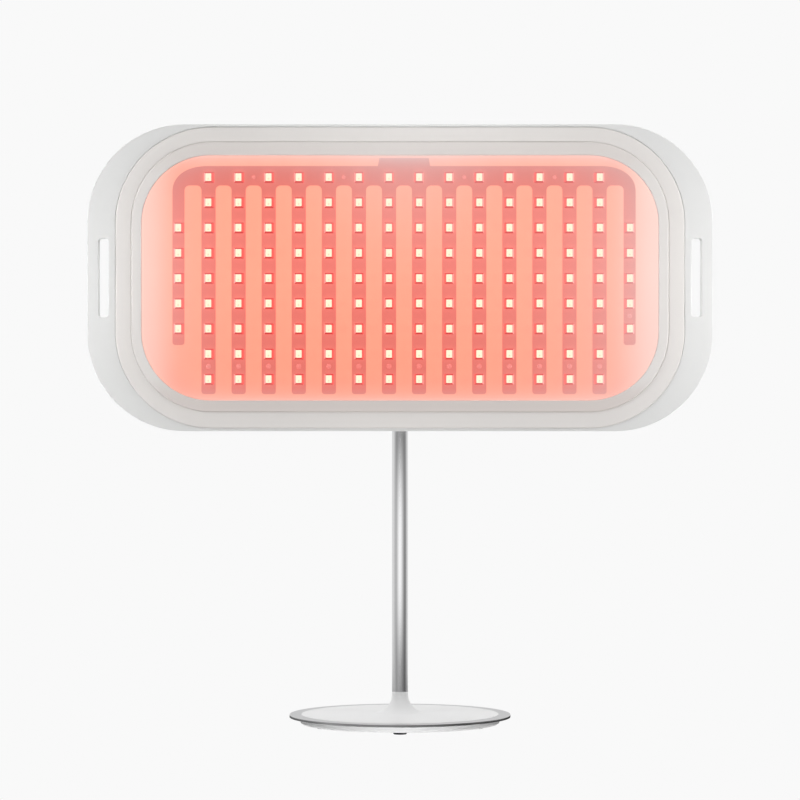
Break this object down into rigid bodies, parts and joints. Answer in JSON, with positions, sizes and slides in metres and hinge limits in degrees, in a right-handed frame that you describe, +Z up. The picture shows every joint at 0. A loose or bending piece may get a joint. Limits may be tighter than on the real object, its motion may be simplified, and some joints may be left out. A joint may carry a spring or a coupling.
{
  "type": "light therapy panel on stand",
  "caption": "Wide round-cornered red light therapy panel with strap slots, on a straight pole and weighted round base; it swivels, tilts and lifts off its dock.",
  "frame": {"origin": "on the table under the middle of the round base and the pole's axis", "axes": "+Z up along the pole, -Y the way the lit face looks, +X the viewer's right"},
  "size_m": [0.385, 0.138, 0.3735],
  "materials": {
    "panel_white": "fine satin moulding",
    "window_clear": "clear, faintly milky",
    "seal_grey": "soft silicone",
    "reflector_lit": "white sheet lit red",
    "flex_lit": "coated flex circuit lit red",
    "led_red": "moulded light housing",
    "led_face": "lit light face",
    "pin_pink": "heat staked nylon",
    "ribbon_amber": "polyimide film",
    "board_green": "solder mask",
    "chip_black": "moulded chips",
    "connector_ivory": "moulded connector",
    "socket_steel": "drawn steel shell",
    "status_green": "clear light pipe",
    "button_grey": "satin",
    "head_grey": "satin silver paint",
    "bush_nylon": "turned nylon",
    "knob_dark": "fluted knob",
    "washer_brass": "spring brass",
    "pole_steel": "polished satin",
    "plate_steel": "bright rim",
    "base_white": "gloss white",
    "foot_rubber": "moulded rubber",
    "screw_steel": "zinc plated",
    "ballast_iron": "cut plate"
  },
  "bodies": {
    "stand": {"base_plate": "plate_steel", "base_cover": "base_white", "base_tray": "base_white", "ballast_disc": "ballast_iron", "rubber_feet": "foot_rubber", "base_screws": "screw_steel", "pole": "pole_steel", "pole_plug": "screw_steel", "pole_bolt": "screw_steel", "pole_washer": "screw_steel", "pole_top_plug": "bush_nylon", "stop_ring": "head_grey"},
    "head": {"swivel_head": "head_grey", "swivel_bush": "bush_nylon", "friction_screw": "knob_dark", "tilt_bolt": "screw_steel", "tilt_nut": "screw_steel", "friction_washers": "washer_brass"},
    "cradle": {"dock_tongue": "head_grey"},
    "panel": {"strap_flange": "panel_white", "outer_bezel": "panel_white", "inner_bezel": "panel_white", "window": "window_clear", "window_seal": "seal_grey", "back_shell": "panel_white", "reflector_tray": "reflector_lit", "flex_circuit": "flex_lit", "led_housings": "led_red", "led_emitters": "led_face", "locating_pins": "pin_pink", "ribbon_tail": "ribbon_amber", "pod_housing": "panel_white", "pod_cover": "panel_white", "driver_board": "board_green", "driver_chips": "chip_black", "ribbon_connector": "connector_ivory", "switch_body": "chip_black", "power_socket": "socket_steel", "status_light": "status_green", "pod_screws": "screw_steel", "pod_floor_screws": "screw_steel", "shell_screws": "screw_steel", "dock_socket": "head_grey", "dock_screws": "screw_steel"},
    "button": {"power_button": "button_grey"}
  },
  "joints": [
    {"name": "swivel", "type": "hinge", "parent": "stand", "child": "head", "pos_m": [0, 0, 0.226], "axis": [0, 0, 1], "range_deg": [-90, 90]},
    {"name": "tilt", "type": "hinge", "parent": "head", "child": "cradle", "pos_m": [0, 0, 0.262], "axis": [-1, 0, 0], "range_deg": [-10, 75]},
    {"name": "lift_off", "type": "slide", "parent": "cradle", "child": "panel", "axis": [0, 0, 1], "range_m": [0, 0.045]},
    {"name": "button_press", "type": "slide", "parent": "panel", "child": "button", "axis": [0, -1, 0], "range_m": [0, 0.0008], "stiffness_N_per_m": 1200, "springref_m": -0.0004}
  ]
}
